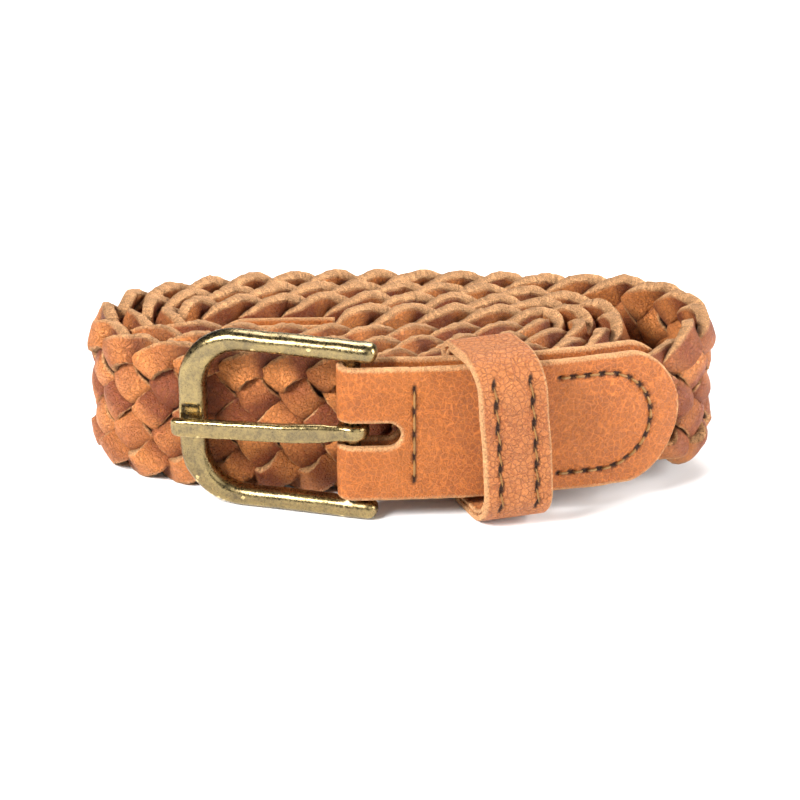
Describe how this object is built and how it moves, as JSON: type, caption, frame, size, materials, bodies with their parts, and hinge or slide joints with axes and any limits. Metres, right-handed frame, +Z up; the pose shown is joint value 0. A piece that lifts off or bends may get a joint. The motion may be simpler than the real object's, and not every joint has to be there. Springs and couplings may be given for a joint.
{
  "type": "leather belt",
  "caption": "Braided leather belt rolled up on its edge, with a heel-bar buckle, prong, sewn tab and sliding keeper.",
  "frame": {"origin": "centre of the rolled belt's footprint, on the surface it stands on", "axes": "+X along the roll, +Y from the buckle's side to the back, +Z up"},
  "size_m": [0.135, 0.0704, 0.04],
  "materials": {
    "braid_leather": "waxed, wrinkled grain with fuzzy cut edges",
    "tab_leather": "matte fine grain",
    "keeper_leather": "pebbled grain",
    "thread": "waxed thread",
    "antique_brass": "antiqued, rubbed bright on the edges"
  },
  "bodies": {
    "strap": {"strand_1": "braid_leather", "strand_2": "braid_leather", "strand_3": "braid_leather", "strand_4": "braid_leather", "strand_5": "braid_leather", "strand_6": "braid_leather", "buckle_tab": "tab_leather", "tab_cross_stitch": "thread", "tab_end_stitch": "thread", "tip_front": "tab_leather", "tip_back": "tab_leather", "tip_stitch": "thread"},
    "frame": {"buckle_frame": "antique_brass"},
    "prong": {"prong": "antique_brass"},
    "keeper": {"keeper_outer": "keeper_leather", "keeper_lining": "keeper_leather", "keeper_stitch_left": "thread", "keeper_stitch_right": "thread"}
  },
  "joints": [
    {"name": "frame_swing", "type": "hinge", "parent": "strap", "child": "frame", "pos_m": [-0.00973, -0.02584, 0.02], "axis": [0, 0, 1], "range_deg": [0, 80]},
    {"name": "prong_swing", "type": "hinge", "parent": "frame", "child": "prong", "pos_m": [-0.00973, -0.02584, 0.02], "axis": [0, 0, 1], "range_deg": [0, 60]},
    {"name": "keeper_slide", "type": "slide", "parent": "strap", "child": "keeper", "axis": [0.9879, 0.1553, 0], "range_m": [-0.003, 0.003]}
  ]
}
